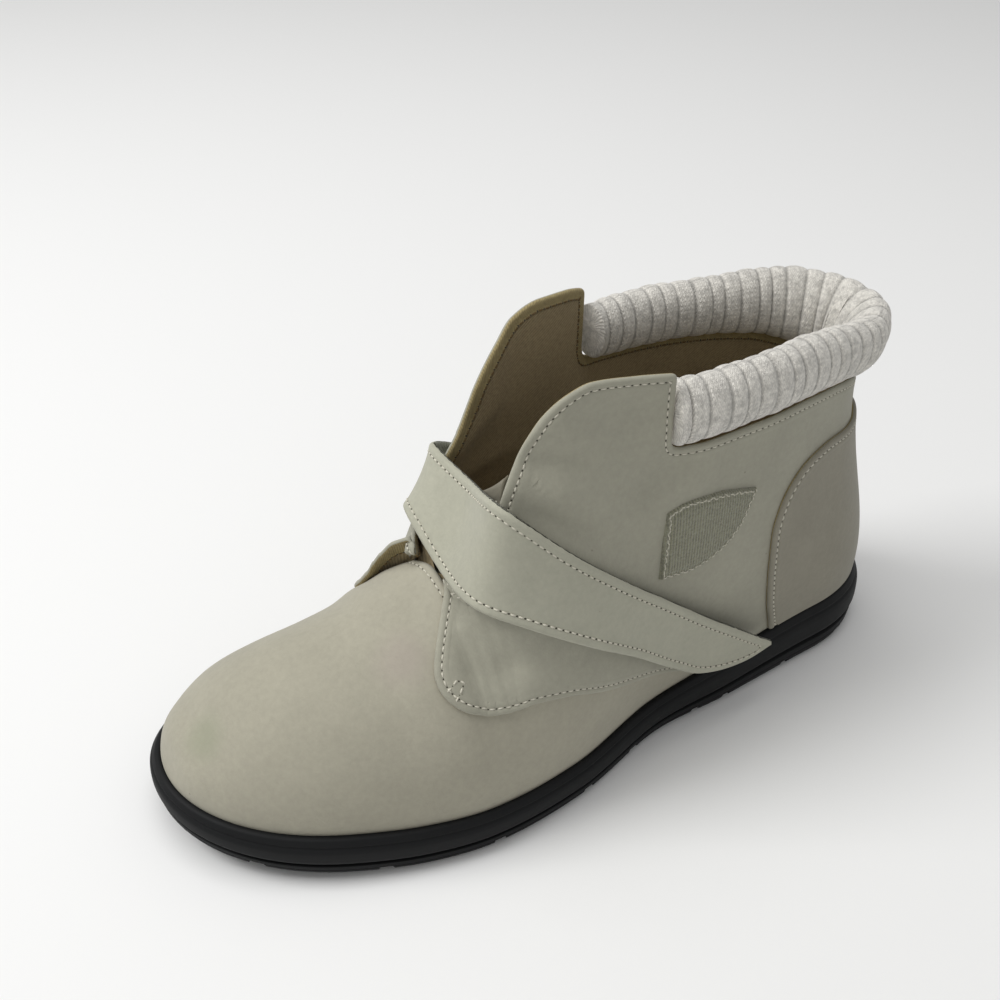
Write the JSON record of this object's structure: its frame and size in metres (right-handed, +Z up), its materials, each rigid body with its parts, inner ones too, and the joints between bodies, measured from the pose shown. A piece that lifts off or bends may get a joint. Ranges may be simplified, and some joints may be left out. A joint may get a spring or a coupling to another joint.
{
  "type": "winter ankle boot",
  "caption": "Left winter ankle boot with a hollow plain-toe upper, padded rib-knit collar, wide unfastened strap and black rubber cup sole.",
  "frame": {"origin": "middle of the overall box at the floor", "axes": "+Z up, toe towards -Y, outer side of the left foot towards +X"},
  "size_m": [0.1012, 0.276, 0.1495],
  "materials": {
    "sole_rubber": "matt moulded",
    "insole_fabric": "woven lining",
    "upper_nubuck": "matt nubuck, dark stitches",
    "tongue_nubuck": "matt nubuck",
    "collar_knit": "heather rib knit",
    "counter_nubuck": "matt nubuck",
    "strap_nubuck": "matt nubuck, stitched edge",
    "loop_tape": "woven loop pile"
  },
  "bodies": {
    "root": {"outsole": "sole_rubber", "insole": "insole_fabric", "upper": "upper_nubuck", "tongue": "tongue_nubuck", "collar": "collar_knit", "counter": "counter_nubuck", "strap": "strap_nubuck", "fastener_patch": "loop_tape"}
  },
  "joints": []
}
